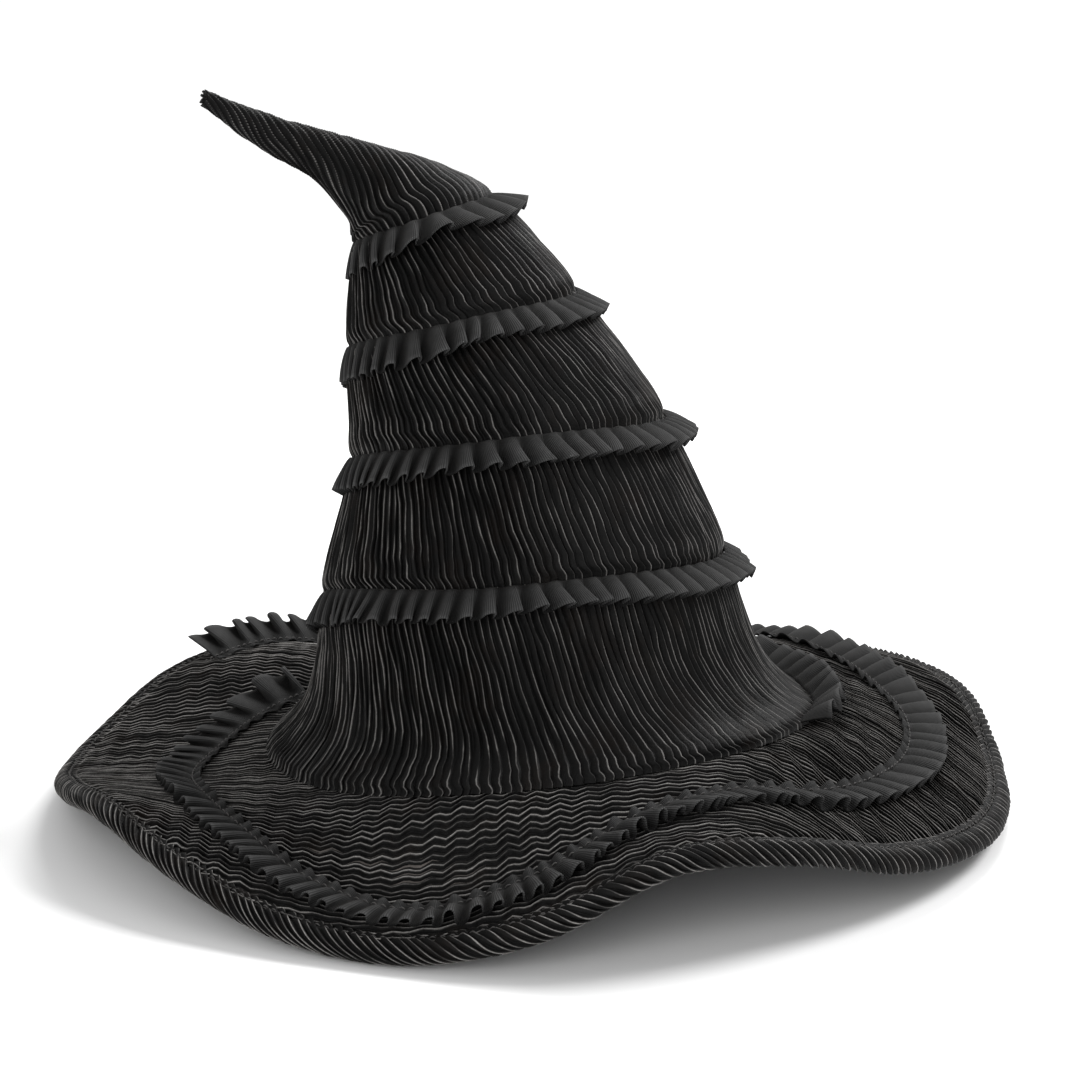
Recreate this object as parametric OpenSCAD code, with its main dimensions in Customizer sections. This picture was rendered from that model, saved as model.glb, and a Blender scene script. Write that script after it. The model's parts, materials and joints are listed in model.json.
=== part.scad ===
// Witch hat: a pleated cloth cone wound in tiers with a ruffle in the spiral seam, a wavy pleated brim
// with a bound edge, and a wired tip that bends at the crook. Millimetres, +Z up. The origin is the centre
// of the head opening, at the sweatband's lower edge. The wearer's face is towards -Y.

/* [Head] */
// Inside radius of the sweatband
head_r = 92; // [80:1:112]
// Height of the sweatband
band_h = 28; // [20:1:32]
// Thickness of the sweatband
band_t = 1.2; // [0.8:0.1:2]

/* [Crown] */
// Height of the horn's end above the brim at the opening
crown_height = 263; // [210:1:320]
// How far the crown's foot stands out from the head opening
foot_flare = 27; // [22:1:36]
// Thickness of a pleated cover
cover_t = 2.2; // [1.4:0.1:2.8]
// Thickness of the stiff crown core
core_t = 1.8; // [1:0.1:2.4]
// Thickness of the lining
lining_t = 0.6; // [0.4:0.1:1]
// Space between the crown's core and its lining, at the top of the head space
head_space_inset = 9; // [6:1:14]

/* [Brim] */
// Outer radius of the brim
brim_reach = 200; // [165:1:240]
// Level of the brim's top side where it meets the sweatband
brim_level = 12; // [10:0.5:16]
// How strongly the brim waves
brim_wave = 1; // [0.6:0.05:1.2]
// Thickness of the brim's stiff core
brim_core_t = 3.4; // [2:0.2:5]
// Width of the bound edge
binding_w = 11; // [9:0.5:16]
// Thickness of the binding
binding_t = 2; // [1.2:0.1:2.6]

/* [Ruffles] */
// Width of the crown's ruffle
crown_ruffle_w = 15; // [10:0.5:20]
// Width of the brim's ruffle
brim_ruffle_w = 15; // [10:0.5:18]
// Thickness of the ruffle cloth
ruffle_t = 1.2; // [0.8:0.1:1.6]
// Length of seam that one fold takes
fold_pitch = 16; // [12:1:24]

/* [Wires] */
// Diameter of the millinery wires
wire_d = 1.6; // [1:0.1:2]
// Diameter of the bendable wire in the crown and tip
bend_wire_d = 2.4; // [1.6:0.1:3]

/* [Hidden] */

// Clearance between two plies
ply_gap = 0.3;
// Clearance under the crown's foot
foot_gap = 0.8;
// Clearance between a ruffle and the cover that it is sewn to
ruffle_gap = 1.6;
brim_ruffle_gap = 2;
// Places round the hat and round the horn
sides = 48;
horn_sides = 32;
wire_sides = 8;
$fn = 96;

// Rings up the crown, at the sizes that SPINE_HEIGHT and SPINE_FOOT go with:
// [x, y, height, radius, tilt to the left, lean to the back]
SPINE_HEIGHT = 263;
SPINE_FOOT = 119;
SPINE = [
    [0, 0, 0, 119, 0, 0],
    [2, 1, 16, 102.5, 0, 2],
    [-2, 4, 38, 92.5, 2, 5],
    [-6, 8, 65, 87, 5, 9],
    [-14, 19, 124, 67.5, 8, 11],
    [-33, 29, 172, 50.5, 14, 11],
    [-49, 37, 212, 32.5, 20, 11],
    [-60, 40, 221, 24.5, 34, 9],
    [-71, 42, 228, 18, 48, 6],
    [-90, 43, 238.5, 11, 58, 3],
    [-117, 44, 250, 7.6, 62, 1],
    [-141, 44, 263, 4, 62, 0]];

// Ring numbers along SPINE where pieces begin and end
HEAD_TOP = 3.4;
WADDING_FROM = 3.6;
COVER_TOP = 6.02;
NECK_END = 7.5;
PIVOT = 8;
HORN_END = 11;

// Height of the brim's top side, less brim_level, at equal steps round the hat from +X
FOOT_RISE = [9, 6, 2, 0, -2, -6, -8, -5, 2, 11, 16, 14];
MID_RISE = [1, 3, 5, 5, -1, -8, -11, -10, -7, 1, 0, -11, -14, -10, -4, -6, -13, -15, -1, 11, 13, 6, 2, 0];
EDGE_RISE = [-15, 0, 1, -4, -12, -19, -21, -20, -13, -3, -5, -16,
    -17, -6, 3, -6, -18, -21, -10, 14, 9, -6, -14, -18];
// Share of the foot's rise that is left at the opening
OPENING_SHARE = 0.35;
// What the brim's reach gains or loses at equal steps round the hat
REACH_EXTRA = [0, 3, 3, 2, 3, 4, 7, 3, 1, 0, -2, 0];

// The crown's spiral seam: ring number at each quarter turn from +X
CROWN_SEAM = [0.15, 1.5, 2.95, 3.08, 3.08, 3.5, 3.96, 3.98, 3.98, 4.5, 4.97, 4.95, 5, 5.5, 6.05, 5.98,
    6.03, 6.3];
SEAM_START = 0;
SEAM_END = 4.2;
// The brim's spiral seam, each 15 degrees from BRIM_SEAM_FROM: share of the way from the foot to where a
// third of the ruffle lies on the binding
BRIM_SEAM_FROM = 150;
BRIM_SEAM = [0.05, 0.16, 0.27, 0.44, 0.56, 0.67, 0.8, 0.87, 0.79, 0.52, 0.47, 0.57, 0.59, 0.6, 0.59,
    0.56, 0.59, 0.66, 0.75, 0.82, 0.87, 0.91, 0.92, 0.92, 0.91];

foot_r = head_r + foot_flare;
brim_in_r = head_r + band_t + wire_d + 3 * ply_gap;
mid_r = (foot_r + brim_reach) / 2;
ply_end_inset = binding_t + wire_d + 2 * ply_gap;
brim_t = 2 * cover_t + brim_core_t + 2 * ply_gap;
core_off = -cover_t - ply_gap;
core_in_off = core_off - core_t;
rise = crown_height / SPINE_HEIGHT;

// --- curves ---
function curve(a, b, c, d, t) =
    b + t / 2 * ((c - a) + t * ((2 * a - 5 * b + 4 * c - d) + t * (3 * (b - c) + d - a)));
function along(P, s) =
    let (n = len(P), i = max(0, min(floor(s), n - 2)))
    curve(i == 0 ? 2 * P[0] - P[1] : P[i - 1], P[i], P[i + 1],
        i == n - 2 ? 2 * P[n - 1] - P[n - 2] : P[i + 2], s - i);
function round_the_hat(V, deg) =
    let (n = len(V), s = ((deg % 360) + 360) % 360 / 360 * n, i = floor(s))
    curve(V[(i + n - 1) % n], V[i % n], V[(i + 1) % n], V[(i + 2) % n], s - i);
function ease(x) = let (t = max(0, min(1, x))) t * t * (3 - 2 * t);
function mix(a, b, w) = a * (1 - w) + b * w;
function turn_steps(n) = [for (i = [0:n - 1]) i * 360 / n];

// --- the brim's surface ---
function reach(deg) = brim_reach + round_the_hat(REACH_EXTRA, deg);
function brim_z(r, deg) =
    let (foot = round_the_hat(FOOT_RISE, deg), edge_r = reach(deg),
        V = brim_wave * [OPENING_SHARE * foot, foot, round_the_hat(MID_RISE, deg),
            round_the_hat(EDGE_RISE, deg)],
        s = r < foot_r ? (r - brim_in_r) / (foot_r - brim_in_r)
            : r < mid_r ? 1 + (r - foot_r) / (mid_r - foot_r)
            : 2 + (r - mid_r) / (edge_r - mid_r))
    brim_level + along(V, s);
function brim_point(r, deg, up = 0) = [r * cos(deg), r * sin(deg), brim_z(r, deg) + up];

// --- the crown's surface ---
// A wider foot widens the rings round the head by as much, and those above in proportion
WIDE_TO = 2;
NARROW_FROM = 5;
function ring_radius(p, s) = p[3] + (foot_r - SPINE_FOOT)
    * mix(1, p[3] / SPINE_FOOT, ease((s - WIDE_TO) / (NARROW_FROM - WIDE_TO)));
function ring_at(s) =
    let (p = along(SPINE, s), tilt = p[4], lean = p[5],
        axis = [-sin(tilt), sin(lean) * cos(tilt), cos(tilt) * cos(lean)], t = axis / norm(axis),
        side = cross([0, 1, 0], t), u = side / norm(side))
    [[p[0] * rise, p[1] * rise, brim_level + p[2] * rise], ring_radius(p, s), u, cross(t, u), t];
// Out from the crown's outside by off, and along the ring's axis by up
function crown_point(s, deg, off = 0, up = 0) =
    let (k = ring_at(s), r = k[1] + off, q = k[0] + r * (cos(deg) * k[2] + sin(deg) * k[3]) + up * k[4],
        foot = brim_z(foot_r + off, deg) - brim_level + foot_gap)
    q + [0, 0, foot * (1 - ease(s / 2))];
function crown_ring(s, off, n = sides) = [for (a = turn_steps(n)) crown_point(s, a, off)];
function spine_ring(s, r, n) = let (k = ring_at(s))
    [for (a = turn_steps(n)) k[0] + r * (cos(a) * k[2] + sin(a) * k[3])];

// --- solids from rings and sections ---
// A tube through rings of equal length, closed at both ends. The quads after ring point back are split the
// other way, so that the two faces of a thin strip keep their distance.
module tube_solid(rings, back = -1) {
    n = len(rings[0]);
    m = len(rings);
    faces = concat([[for (i = [0:n - 1]) i]],
        [for (k = [0:m - 2], i = [0:n - 1]) let (j = (i + 1) % n)
            each i == back
                ? [[k * n + i, (k + 1) * n + i, k * n + j], [(k + 1) * n + i, (k + 1) * n + j, k * n + j]]
                : [[k * n + i, (k + 1) * n + i, (k + 1) * n + j],
                    [k * n + i, (k + 1) * n + j, k * n + j]]],
        [[for (i = [n - 1:-1:0]) (m - 1) * n + i]]);
    polyhedron([for (r = rings) each r], faces, convexity = 8);
}
// A closed hoop through sections of equal length, given in order round the hat. From point back to point
// back_end a section runs the other way, and its quads are split the other way, so that plies nest.
module hoop_solid(sections, back, back_end) {
    n = len(sections[0]);
    m = len(sections);
    faces = [for (k = [0:m - 1], i = [0:n - 1]) let (j = (i + 1) % n, h = (k + 1) % m)
        each i >= back && i < back_end
            ? [[k * n + i, k * n + j, h * n + i], [k * n + j, h * n + j, h * n + i]]
            : [[k * n + i, h * n + j, h * n + i], [k * n + i, k * n + j, h * n + j]]];
    polyhedron([for (s = sections) each s], faces, convexity = 8);
}
// A wall between two lists of rings that run the same way
module wall_solid(outer, inner) {
    n = len(outer[0]);
    m = len(outer);
    q = len(inner);
    hoop_solid([for (i = [0:n - 1])
        concat([for (k = [0:m - 1]) outer[k][i]], [for (k = [q - 1:-1:0]) inner[k][i]])], m, m + q - 1);
}
module wire_ring(r, z) translate([0, 0, z]) rotate_extrude() translate([r, 0]) circle(d = wire_d, $fn = 24);

// --- head opening ---
module sweatband() color("#2b2726") difference() {
    cylinder(r = head_r + band_t, h = band_h);
    translate([0, 0, -1]) cylinder(r = head_r, h = band_h + 2);
}
module headsize_wire() color("#8d8f92") wire_ring(head_r + band_t + ply_gap + wire_d / 2, wire_d);

// The lining runs straight up behind the sweatband and then follows the crown
LINING_RINGS = [1, 1.5, 2, 2.5, 3, HEAD_TOP];
lining_r = head_r + band_t + ply_gap;
lining_foot = 2 * wire_d + ply_gap;
function lining_ring(s, off) =
    let (w = ease((s - 1) / 2), z = mix(band_h + 1, ring_at(s)[0][2], w))
    [for (a = turn_steps(sides))
        let (straight = [(lining_r + lining_t + off) * cos(a), (lining_r + lining_t + off) * sin(a), z],
            inside = crown_point(s, a, core_in_off - head_space_inset + off))
        mix(straight, inside, w)];
function lining_hem(off) = [for (a = turn_steps(sides))
    [(lining_r + lining_t + off) * cos(a), (lining_r + lining_t + off) * sin(a), lining_foot]];
module crown_lining() color("#1d1a1c") tube_solid(concat(
    [for (i = [len(LINING_RINGS) - 1:-1:0]) lining_ring(LINING_RINGS[i], 0)],
    [lining_hem(0), lining_hem(-lining_t)],
    [for (i = [0:len(LINING_RINGS) - 1])
        [for (p = lining_ring(LINING_RINGS[i], -lining_t))
            p - [0, 0, i == len(LINING_RINGS) - 1 ? lining_t : 0]]]));

// --- crown ---
TAPE_T = 0.8;
tape_in_r = lining_r + lining_t + ply_gap + 1;
tape_out_r = foot_r + core_in_off - ply_gap - 1;
tape_radii = [tape_in_r, mix(brim_in_r, foot_r, 0.5), tape_out_r];
module foot_seam_tape() color("#222222") wall_solid(
    [for (r = tape_radii) [for (a = turn_steps(sides)) brim_point(r, a, 2 * ply_gap + TAPE_T)]],
    [for (r = tape_radii) [for (a = turn_steps(sides)) brim_point(r, a, 2 * ply_gap)]]);

FOAM_RINGS = [0.25, 0.5, 0.75, 1];
foam_off = core_in_off - 2 * ply_gap;
foam_in_r = lining_r + lining_t + ply_gap;
module fitting_foam() color("#4a4a4c") hoop_solid([for (a = turn_steps(sides))
    let (low = crown_point(FOAM_RINGS[0], a, foam_off), high = crown_point(FOAM_RINGS[3], a, foam_off),
        bottom = brim_z(foam_in_r, a) + 3 * ply_gap + TAPE_T + 1, top = max(bottom + 4, high[2] - 4))
    concat([for (s = FOAM_RINGS) crown_point(s, a, foam_off)],
        [[foam_in_r * cos(a), foam_in_r * sin(a), top], [foam_in_r * cos(a), foam_in_r * sin(a), bottom]])],
    0, 0);

CROWN_RINGS = [0, 0.25, 0.6, 1, 1.5, 2, 2.5, 3, 3.5, 4, 4.5, 5, 5.5];
module crown_core() color("#3a3532") wall_solid(
    [for (s = concat(CROWN_RINGS, [COVER_TOP])) crown_ring(s, core_off)],
    [for (s = concat(CROWN_RINGS, [COVER_TOP])) crown_ring(s, core_in_off)]);
module crown_cover() color("#1b1918") wall_solid(
    [for (s = concat(CROWN_RINGS, [COVER_TOP])) crown_ring(s, 0)],
    [for (s = concat(CROWN_RINGS, [COVER_TOP])) crown_ring(s, -cover_t)]);

wire_bore_r = bend_wire_d / 2 + ply_gap;
WADDING_RINGS = [WADDING_FROM, 4, 4.5, 5, 5.5, COVER_TOP];
module crown_wadding() color("#d8d4cc") wall_solid(
    [for (s = WADDING_RINGS) crown_ring(s, core_in_off - 2 * ply_gap)],
    [for (s = WADDING_RINGS) spine_ring(s, wire_bore_r, sides)]);

// --- ruffles ---
// A fold at each place stands away from its neighbours by this much
FOLD = 2.5;
function ruffle_ring(inner, outer, normal) =
    [inner + normal * ruffle_t / 2, outer + normal * ruffle_t / 2,
        outer - normal * ruffle_t / 2, inner - normal * ruffle_t / 2];
function seam_ring(turns) = along(CROWN_SEAM, turns * 4);
// Angle that the ruffle stands out at, from up over the brim to down over the crown
RUFFLE_UP = 30;
RUFFLE_DOWN = -20;
function crown_ruffle_ring(turns, side) =
    let (s = seam_ring(turns), deg = turns * 360, k = ring_at(s), out = cos(deg) * k[2] + sin(deg) * k[3],
        hang = mix(RUFFLE_UP, RUFFLE_DOWN, ease(s / 2.5)),
        inner = crown_point(s, deg, ruffle_gap),
        outer = inner + crown_ruffle_w * (cos(hang) * out + sin(hang) * k[4]) + side * FOLD * k[4])
    ruffle_ring(inner, outer, k[4]);
// Length of the seam, turn by turn, sets how many folds there are
function seam_steps(from, turns_end, length) = round((turns_end - from) * length / (fold_pitch / 2));
crown_seam_mean = 2 * PI * 0.62 * foot_r;
CROWN_STEPS = seam_steps(SEAM_START, SEAM_END, crown_seam_mean);
module crown_ruffle() color("#2c2c2e") tube_solid([for (i = [0:CROWN_STEPS])
    crown_ruffle_ring(mix(SEAM_START, SEAM_END, i / CROWN_STEPS), i % 2 * 2 - 1)], 2);

// The free edge's fold passes over the binding with this much to spare
EDGE_CLEAR = 0.6;
brim_ruffle_lift = binding_t + ply_gap + EDGE_CLEAR + FOLD * 0.8 + ruffle_t / 2;
brim_ruffle_turns = (len(BRIM_SEAM) - 1) * 15 / 360;
BRIM_STEPS = seam_steps(0, brim_ruffle_turns, 2 * PI * mid_r);
function brim_ruffle_ring(turns, side) =
    let (deg = BRIM_SEAM_FROM + turns * 360, share = along(BRIM_SEAM, turns * 24),
        r = max(foot_r + 2, mix(foot_r, reach(deg) - binding_w - brim_ruffle_w / 3, share)),
        inner = brim_point(r, deg, brim_ruffle_gap),
        outer = brim_point(r + brim_ruffle_w, deg, brim_ruffle_lift + side * FOLD * 0.8))
    ruffle_ring(inner, outer, [0, 0, 1]);
module brim_ruffle() color("#2c2c2e") tube_solid([for (i = [0:BRIM_STEPS])
    brim_ruffle_ring(mix(0, brim_ruffle_turns, i / BRIM_STEPS), i % 2 * 2 - 1)], 2);

// --- horn ---
// The tip's root is a ball that sits in the mouth of the horn's root
pivot = ring_at(PIVOT)[0];
ball_r = ring_at(PIVOT)[1] - cover_t;
tip_axis = ring_at(PIVOT)[4];
// Half the angle of the hole at the back of the ball, which the bendable wire passes through
BALL_MOUTH = 48;
BALL_FRONT = 84;
ROOT_RINGS = [COVER_TOP + 0.12, 6.5, 7, NECK_END];
module horn_root_cover() color("#1b1918") wall_solid(
    [for (s = ROOT_RINGS) crown_ring(s, 0, horn_sides)],
    [for (s = ROOT_RINGS) crown_ring(s, -cover_t, horn_sides)]);

function ball_ring(angle, r, n = horn_sides) = let (k = ring_at(PIVOT))
    [for (a = turn_steps(n)) pivot - r * cos(angle) * tip_axis
        + r * sin(angle) * (cos(a) * k[2] + sin(a) * k[3])];
BALL_ANGLES = [for (i = [0:4]) mix(BALL_MOUTH, BALL_FRONT, i / 4)];
HORN_RINGS = [9, 9.5, 10, 10.5];
HORN_HOLLOW_END = 10.9;
module tip_cover() color("#1b1918") tube_solid(concat(
    [crown_ring(HORN_END, 0, horn_sides)],
    [for (i = [len(HORN_RINGS) - 1:-1:0]) crown_ring(HORN_RINGS[i], 0, horn_sides)],
    [for (i = [4:-1:0]) ball_ring(BALL_ANGLES[i], ball_r)],
    [for (i = [0:4]) ball_ring(BALL_ANGLES[i], ball_r - cover_t)],
    [for (s = concat(HORN_RINGS, [HORN_HOLLOW_END])) crown_ring(s, -cover_t, horn_sides)]));

// A ring part of the way from the pivot to the horn's first ring, less inset, or of radius r
function root_ring(share, n, inset = 0, r = 0) = let (k = ring_at(PIVOT), h = ring_at(HORN_RINGS[0]))
    [for (a = turn_steps(n)) mix(pivot, h[0], share)
        + (r ? r : mix(ball_r, h[1], share) - inset) * (cos(a) * k[2] + sin(a) * k[3])];
FILL_SHARE = 0.4;
module tip_wadding() color("#d8d4cc") wall_solid(
    concat([root_ring(FILL_SHARE, horn_sides, inset = cover_t + 3 * ply_gap)],
        [for (s = HORN_RINGS) crown_ring(s, -cover_t - 2 * ply_gap, horn_sides)]),
    concat([root_ring(FILL_SHARE, horn_sides, r = wire_bore_r)],
        [for (s = HORN_RINGS) spine_ring(s, wire_bore_r, horn_sides)]));

// The two lengths of bendable wire stop this far short of each other, as a share of the horn's root
WIRE_REST = 0.07;
module spine_wire() color("#8d8f92") tube_solid(concat(
    [for (s = concat(WADDING_RINGS, [6.5, 7, 7.5])) spine_ring(s, bend_wire_d / 2, wire_sides)],
    [root_ring(-WIRE_REST, wire_sides, r = bend_wire_d / 2)]));
module tip_wire() color("#8d8f92") tube_solid(concat(
    [for (share = [WIRE_REST, FILL_SHARE]) root_ring(share, wire_sides, r = bend_wire_d / 2)],
    [for (s = HORN_RINGS) spine_ring(s, bend_wire_d / 2, wire_sides)]));

// --- brim ---
function brim_radii(deg) = [brim_in_r, mix(brim_in_r, foot_r, 0.5), foot_r, mix(foot_r, mid_r, 0.5), mid_r,
    mix(mid_r, reach(deg) - binding_w, 0.55), reach(deg) - binding_w, reach(deg) - ply_end_inset];
BRIM_PLACES = len(brim_radii(0));
module brim_ply(top, t) hoop_solid([for (a = turn_steps(sides))
    let (radii = brim_radii(a), last = len(radii) - 1)
    concat([for (i = [last:-1:0]) brim_point(radii[i], a, top)],
        [for (i = [0:last]) brim_point(radii[i], a, top - t)])], BRIM_PLACES, 2 * BRIM_PLACES - 1);
module brim_top_cover() color("#1b1918") brim_ply(0, cover_t);
module brim_core() color("#3a3532") brim_ply(-cover_t - ply_gap, brim_core_t);
module brim_under_cover() color("#1b1918") brim_ply(-cover_t - brim_core_t - 2 * ply_gap, cover_t);

// The binding folds over the edge, with the wire in its fold
function binding_section(deg) =
    let (R = reach(deg), mouth = R - binding_w, slot = R - ply_end_inset, low = -brim_t - ply_gap)
    [brim_point(mouth, deg, ply_gap), brim_point(mouth + 1, deg, binding_t),
        brim_point(R - binding_t - 1, deg, binding_t + ply_gap), brim_point(R - 0.5, deg, -0.5),
        brim_point(R, deg, -brim_t / 2), brim_point(R - 0.5, deg, 0.5 - brim_t),
        brim_point(R - binding_t - 1, deg, low - binding_t), brim_point(mouth + 1, deg, low - binding_t),
        brim_point(mouth, deg, low), brim_point(slot, deg, low),
        brim_point(R - binding_t, deg, -brim_t + 1.5), brim_point(R - binding_t, deg, -1.5),
        brim_point(slot, deg, ply_gap)];
module brim_binding() color("#1b1918") hoop_solid([for (a = turn_steps(sides)) binding_section(a)], 8, 9);
module brim_edge_wire() color("#8d8f92") hoop_solid([for (a = turn_steps(sides))
    let (R = reach(a) - binding_t - ply_gap - wire_d / 2, p = brim_point(R, a, -brim_t / 2))
    [for (k = turn_steps(wire_sides))
        p + wire_d / 2 * (cos(k) * [cos(a), sin(a), 0] + [0, 0, sin(k)])]], 0, 0);

sweatband();
headsize_wire();
crown_lining();
foot_seam_tape();
fitting_foam();
crown_core();
crown_cover();
crown_wadding();
spine_wire();
crown_ruffle();
horn_root_cover();
tip_cover();
tip_wadding();
tip_wire();
brim_core();
brim_top_cover();
brim_under_cover();
brim_binding();
brim_edge_wire();
brim_ruffle();
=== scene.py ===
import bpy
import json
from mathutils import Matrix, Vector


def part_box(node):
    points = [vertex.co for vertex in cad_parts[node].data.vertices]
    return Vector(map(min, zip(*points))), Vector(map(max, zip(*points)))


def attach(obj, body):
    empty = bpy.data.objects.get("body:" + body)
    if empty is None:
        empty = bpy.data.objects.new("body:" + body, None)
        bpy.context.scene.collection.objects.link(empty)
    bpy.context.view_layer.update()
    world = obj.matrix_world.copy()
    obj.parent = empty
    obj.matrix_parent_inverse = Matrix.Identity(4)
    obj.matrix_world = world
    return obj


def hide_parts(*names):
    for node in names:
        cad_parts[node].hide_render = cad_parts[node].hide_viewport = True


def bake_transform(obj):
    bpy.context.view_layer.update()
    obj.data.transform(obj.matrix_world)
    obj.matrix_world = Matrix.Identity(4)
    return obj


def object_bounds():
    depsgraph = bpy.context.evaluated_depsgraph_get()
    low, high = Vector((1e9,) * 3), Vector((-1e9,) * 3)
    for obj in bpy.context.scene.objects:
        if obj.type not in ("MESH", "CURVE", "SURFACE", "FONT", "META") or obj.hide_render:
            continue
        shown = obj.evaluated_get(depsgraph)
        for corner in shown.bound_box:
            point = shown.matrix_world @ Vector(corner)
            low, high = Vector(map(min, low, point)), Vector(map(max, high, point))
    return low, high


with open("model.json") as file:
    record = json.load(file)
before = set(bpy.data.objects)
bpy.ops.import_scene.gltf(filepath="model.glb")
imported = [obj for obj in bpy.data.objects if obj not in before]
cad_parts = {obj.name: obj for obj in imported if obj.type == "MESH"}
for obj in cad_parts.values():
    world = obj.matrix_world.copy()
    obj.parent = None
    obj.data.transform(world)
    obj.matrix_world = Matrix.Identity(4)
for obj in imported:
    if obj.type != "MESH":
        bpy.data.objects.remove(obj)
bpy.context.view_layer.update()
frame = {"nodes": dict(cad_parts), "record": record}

import json
import math

import bpy
import numpy as np
from mathutils import Vector

# --- Camera: the photograph's viewing angle ---
CAMERA_DISTANCE = 1.15
CAMERA_ELEVATION = math.radians(14)
CAMERA_TARGET = Vector((0, 0, 0.094))
LENS_MM = 90.56
SENSOR_MM = 36.0
CLIP_NEAR, CLIP_FAR = 0.05, 20

camera_data = bpy.data.cameras.new("camera")
camera_data.lens = LENS_MM
camera_data.sensor_width = SENSOR_MM
camera_data.clip_start = CLIP_NEAR
camera_data.clip_end = CLIP_FAR
camera = bpy.data.objects.new("camera", camera_data)
bpy.context.scene.collection.objects.link(camera)
toward = Vector((0, -math.cos(CAMERA_ELEVATION), math.sin(CAMERA_ELEVATION)))
camera.location = CAMERA_TARGET + CAMERA_DISTANCE * toward
camera.rotation_euler = (-toward).to_track_quat("-Z", "Y").to_euler()
bpy.context.scene.camera = camera

# --- Driving sizes, the same as in part.scad. Shapes are worked out in millimetres and made in metres. ---
MM = 0.001
HEAD_R = frame["record"]["mounts"][0]["dims"]["r_mm"]
BAND_H = (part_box("sweatband")[1].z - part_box("sweatband")[0].z) / MM
BAND_T = 1.2
FOOT_R = HEAD_R + 27.0
COVER_T = 2.2
CORE_T = 1.8
LINING_T = 0.6
HEAD_SPACE_INSET = 9.0
BRIM_REACH = 200.0
BRIM_LEVEL = 12.0
BRIM_CORE_T = 3.4
BINDING_W = 11.0
CROWN_RUFFLE_W = 15.0
BRIM_RUFFLE_W = 15.0
WIRE_D = 1.6
PLY_GAP = 0.3
FOOT_GAP = 0.8
BRIM_IN_R = HEAD_R + BAND_T + WIRE_D + 3 * PLY_GAP
MID_R = (FOOT_R + BRIM_REACH) / 2
BRIM_T = 2 * COVER_T + BRIM_CORE_T + 2 * PLY_GAP
CORE_OUT = -COVER_T - PLY_GAP
CORE_IN = CORE_OUT - CORE_T

# Rings up the crown: x, y, height over the brim, radius, tilt to the left, lean to the back
SPINE = [
    [0, 0, 0, 119, 0, 0],
    [2, 1, 16, 102.5, 0, 2],
    [-2, 4, 38, 92.5, 2, 5],
    [-6, 8, 65, 87, 5, 9],
    [-14, 19, 124, 67.5, 8, 11],
    [-33, 29, 172, 50.5, 14, 11],
    [-49, 37, 212, 32.5, 20, 11],
    [-60, 40, 221, 24.5, 34, 9],
    [-71, 42, 228, 18, 48, 6],
    [-90, 43, 238.5, 11, 58, 3],
    [-117, 44, 250, 7.6, 62, 1],
    [-141, 44, 263, 4, 62, 0],
]
# Ring numbers: the closed top of the lining, and the horn's cut end
HEAD_TOP = 3.4
HORN_END = 11
# How far the brim rises at the crown's foot, half way out and at its edge, evenly round from +X
FOOT_RISE = [9, 6, 2, 0, -2, -6, -8, -5, 2, 11, 16, 14]
MID_RISE = [1, 3, 5, 5, -1, -8, -11, -10, -7, 1, 0, -11, -14, -10, -4, -6, -13, -15, -1, 11, 13, 6, 2, 0]
EDGE_RISE = [-15, 0, 1, -4, -12, -19, -21, -20, -13, -3, -5, -16,
             -17, -6, 3, -6, -18, -21, -10, 14, 9, -6, -14, -18]
# The rise at the head opening, as a share of the rise at the foot
OPENING_SHARE = 0.35
# How much further out than BRIM_REACH the edge is, evenly round from +X
REACH_EXTRA = [0, 3, 3, 2, 3, 4, 7, 3, 1, 0, -2, 0]
# The crown's spiral seam, ring number at each quarter turn from +X, and the turns that it makes
CROWN_SEAM = [0.15, 1.5, 2.95, 3.08, 3.08, 3.5, 3.96, 3.98, 3.98, 4.5, 4.97, 4.95, 5, 5.5, 6.05, 5.98,
              6.03, 6.3]
SEAM_END = 4.2
# The brim's spiral seam at 24 places each turn, as a share of the way from the foot to near the edge
BRIM_SEAM_FROM = 150
BRIM_SEAM_PLACES = 24
BRIM_SEAM = [0.05, 0.16, 0.27, 0.44, 0.56, 0.67, 0.8, 0.87, 0.79, 0.52, 0.47, 0.57, 0.59, 0.6, 0.59,
             0.56, 0.59, 0.66, 0.75, 0.82, 0.87, 0.91, 0.92, 0.92, 0.91]


# --- Curves and the hat's surfaces, as in part.scad ---
def curve(a, b, c, d, t):
    """The smooth curve through b and c, at the share t of the way from b to c."""
    return b + t / 2 * ((c - a) + t * ((2 * a - 5 * b + 4 * c - d) + t * (3 * (b - c) + d - a)))


def along(points, s):
    """The curve through all the points, at point number s."""
    points = np.asarray(points, float)
    s = np.asarray(s, float)
    i = np.clip(np.floor(s).astype(int), 0, len(points) - 2)
    t = (s - i).reshape(s.shape + (1,) * (points.ndim - 1))
    q = np.concatenate([[2 * points[0] - points[1]], points, [2 * points[-1] - points[-2]]])
    return curve(q[i], q[i + 1], q[i + 2], q[i + 3], t)


def round_the_hat(values, deg):
    """Values evenly round the hat from +X, joined by one closed curve."""
    values = np.asarray(values, float)
    n = len(values)
    s = np.mod(np.asarray(deg, float), 360) / 360 * n
    i = np.floor(s).astype(int)
    return curve(values[(i - 1) % n], values[i % n], values[(i + 1) % n], values[(i + 2) % n], s - i)


def ease(x):
    x = np.clip(x, 0, 1)
    return x * x * (3 - 2 * x)


def mix(a, b, w):
    return a * (1 - w) + b * w


def unit(v):
    return v / np.linalg.norm(v, axis=-1, keepdims=True)


def reach(deg):
    return BRIM_REACH + round_the_hat(REACH_EXTRA, deg)


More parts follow.
